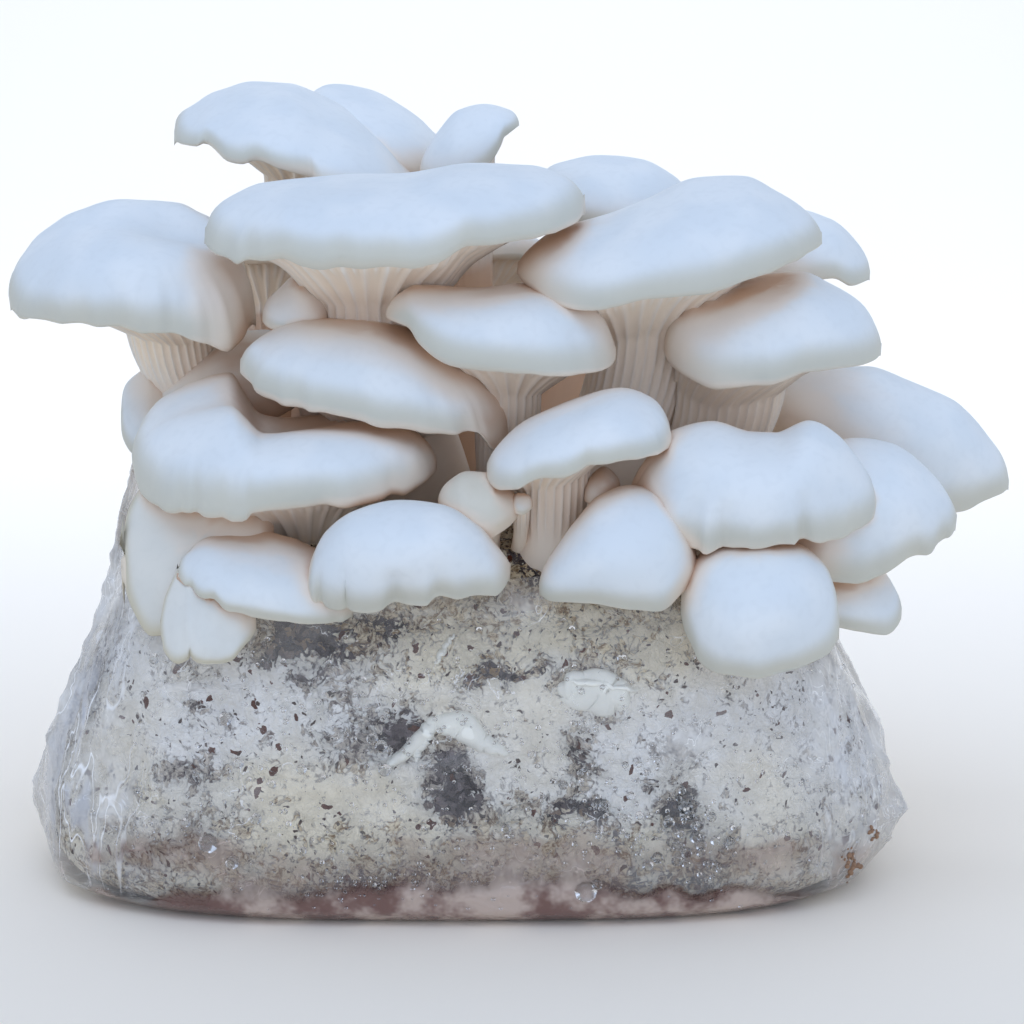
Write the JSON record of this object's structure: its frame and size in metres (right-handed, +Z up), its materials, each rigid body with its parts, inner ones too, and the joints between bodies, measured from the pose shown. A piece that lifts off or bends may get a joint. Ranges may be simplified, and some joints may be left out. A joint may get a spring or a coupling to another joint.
{
  "type": "oyster mushroom grow bag",
  "caption": "Clear plastic grow bag round a white mycelium-grown sawdust block, lying on its wide side, with a crowded cluster of pale oyster mushroom caps on short stems growing from its top.",
  "frame": {"origin": "middle of the flat patch on the bag's underside that lies on the ground, under the middle of the block", "axes": "+X along the bag to the viewer's right, -Y towards the viewer (the cluster's front), +Z up out of the ground"},
  "size_m": [0.294, 0.1946, 0.2286],
  "materials": {
    "film": "gloss",
    "substrate": "matte",
    "flesh": "satin"
  },
  "bodies": {
    "root": {"plastic_bag": "film", "substrate_block": "substrate", "mushroom_back_left": "flesh", "mushroom_back_low": "flesh", "mushroom_back_middle": "flesh", "mushroom_back_right": "flesh", "mushroom_back_upper_right": "flesh", "mushroom_far_left": "flesh", "mushroom_far_low_right": "flesh", "mushroom_far_right": "flesh", "mushroom_far_right_upper": "flesh", "mushroom_front_centre_right": "flesh", "mushroom_front_far_left": "flesh", "mushroom_front_left": "flesh", "mushroom_front_left_large": "flesh", "mushroom_front_low_right": "flesh", "mushroom_front_middle": "flesh", "mushroom_front_right_behind": "flesh", "mushroom_front_right_large": "flesh", "mushroom_knob": "flesh", "mushroom_left": "flesh", "mushroom_left_behind": "flesh", "mushroom_left_leaf": "flesh", "mushroom_left_low": "flesh", "mushroom_middle": "flesh", "mushroom_middle_left": "flesh", "mushroom_pin": "flesh", "mushroom_right": "flesh", "mushroom_shaded_left": "flesh", "mushroom_shaded_middle": "flesh", "mushroom_top_left": "flesh", "mushroom_top_middle": "flesh", "mushroom_top_right": "flesh", "mushroom_top_small": "flesh", "mushroom_upper_middle": "flesh", "mushroom_upper_right": "flesh"}
  },
  "joints": []
}
